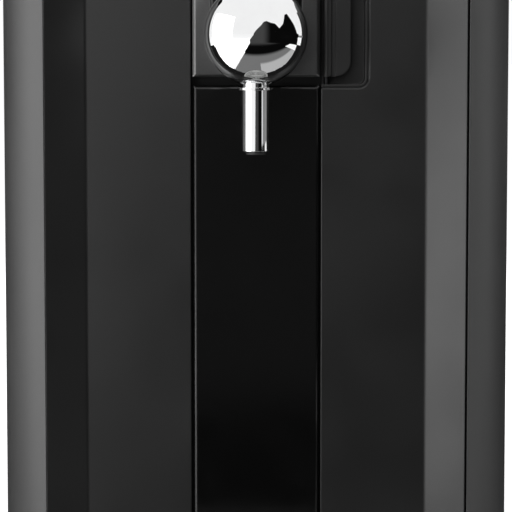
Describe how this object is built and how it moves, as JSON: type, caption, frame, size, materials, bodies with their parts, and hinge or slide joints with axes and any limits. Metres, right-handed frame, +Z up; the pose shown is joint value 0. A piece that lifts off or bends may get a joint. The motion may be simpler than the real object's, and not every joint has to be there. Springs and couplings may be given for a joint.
{
  "type": "keg beer dispenser",
  "caption": "Countertop dispenser for small beer kegs with an insulated cabinet, hinged front door, chrome ball tap with pull handle, latch grip and drip tray.",
  "frame": {"origin": "centre of the bounding box in plan, on the surface that the dispenser stands on", "axes": "+Z up; +X to the right of a viewer who faces the tap; +Y from the tap to the back"},
  "size_m": [0.26, 0.495, 0.44],
  "materials": {
    "casing": "satin",
    "door_skin": "satin",
    "gloss_black": "gloss",
    "tap_grey": "satin",
    "inner_black": "matte",
    "liner": "satin",
    "foam": "matte",
    "rubber": "matte",
    "chrome": "polished",
    "steel": "satin",
    "alu": "satin",
    "ceramic": "matte",
    "window": "gloss",
    "pcb": "satin",
    "hose": "satin"
  },
  "bodies": {
    "cabinet": {"left_casing": "casing", "right_casing": "casing", "top_cover": "door_skin", "display_window": "window", "display_board": "pcb", "rear_cover": "inner_black", "cover_screws": "steel", "base_chassis": "inner_black", "rubber_feet": "rubber", "keg_liner": "liner", "insulation": "foam", "strike_plate": "steel", "hinge_pins": "steel", "cold_plate": "alu", "peltier_module": "ceramic", "heat_sink": "alu", "fan_frame": "inner_black", "fan_screws": "steel", "service_deck": "inner_black", "control_board": "pcb", "air_pump": "inner_black", "air_hose": "hose", "coupler_head": "inner_black", "coupler_seal": "rubber", "power_inlet": "inner_black", "power_switch": "inner_black"},
    "door": {"door_outer_panel": "casing", "left_front_panel": "door_skin", "right_front_panel": "door_skin", "door_inner_liner": "liner", "door_foam": "foam", "door_seal": "rubber", "front_strip": "gloss_black", "tap_panel": "tap_grey", "tap_insert": "gloss_black", "grip_cup": "door_skin", "grip_pin": "steel", "hook_pin": "steel", "latch_keeper": "inner_black", "tap_body": "chrome", "tap_nut": "steel", "tap_ball": "chrome", "tap_spout": "chrome", "spout_nozzle": "inner_black", "lever_axle": "steel", "plunger_spring": "steel"},
    "grip": {"grip_lever": "door_skin"},
    "bar": {"latch_bar": "steel"},
    "hook": {"latch_hook": "steel"},
    "lever": {"tap_lever": "chrome", "tap_handle": "chrome"},
    "badge": {"medallion": "gloss_black"},
    "plunger": {"pinch_plunger": "inner_black"},
    "tray": {"drip_tray": "inner_black"},
    "grid": {"drip_grid": "steel"},
    "rotor": {"fan_rotor": "inner_black"},
    "rocker": {"switch_rocker": "gloss_black"}
  },
  "joints": [
    {"name": "door_hinge", "type": "hinge", "parent": "cabinet", "child": "door", "pos_m": [-0.1266, -0.0709, 0.205], "axis": [0, 0, -1], "range_deg": [0, 100]},
    {"name": "grip_pull", "type": "hinge", "parent": "door", "child": "grip", "pos_m": [0.0359, -0.0921, 0.34], "axis": [0, 0, -1], "range_deg": [0, 14], "stiffness_Nm_per_rad": 0.02, "springref_deg": -5.73},
    {"name": "latch_bar_slide", "type": "slide", "parent": "door", "child": "bar", "axis": [1, 0, 0], "range_m": [0, 0.0034]},
    {"name": "latch_hook_turn", "type": "hinge", "parent": "door", "child": "hook", "pos_m": [0.092, -0.0716, 0.361], "axis": [0, 0, 1], "range_deg": [0, 31.45]},
    {"name": "tap_lever_tilt", "type": "hinge", "parent": "door", "child": "lever", "pos_m": [0, -0.1295, 0.338], "axis": [1, 0, 0], "range_deg": [0, 22]},
    {"name": "plunger_lift", "type": "slide", "parent": "door", "child": "plunger", "axis": [0, 0, 1], "range_m": [0, 0.00357], "deforming": ["plunger_spring"]},
    {"name": "badge_pull", "type": "slide", "parent": "lever", "child": "badge", "axis": [0, -1, 0], "range_m": [0, 0.015]},
    {"name": "tray_slide", "type": "slide", "parent": "cabinet", "child": "tray", "axis": [0, -1, 0], "range_m": [0, 0.06]},
    {"name": "grid_lift", "type": "slide", "parent": "tray", "child": "grid", "axis": [0, 0, 1], "range_m": [0, 0.03]},
    {"name": "fan_spin", "type": "hinge", "parent": "cabinet", "child": "rotor", "pos_m": [0, 0.2115, 0.2], "axis": [0, 1, 0], "continuous": true},
    {"name": "rocker_tip", "type": "hinge", "parent": "cabinet", "child": "rocker", "pos_m": [0.052, 0.2325, 0.074], "axis": [0, 0, 1], "range_deg": [0, 14]}
  ],
  "couplings": [
    {"joint": "latch_bar_slide", "follows": "grip_pull", "m_per_rad": 0.013861},
    {"joint": "latch_hook_turn", "follows": "grip_pull", "ratio": 2.2431},
    {"joint": "plunger_lift", "follows": "tap_lever_tilt", "m_per_rad": 0.0092683}
  ]
}
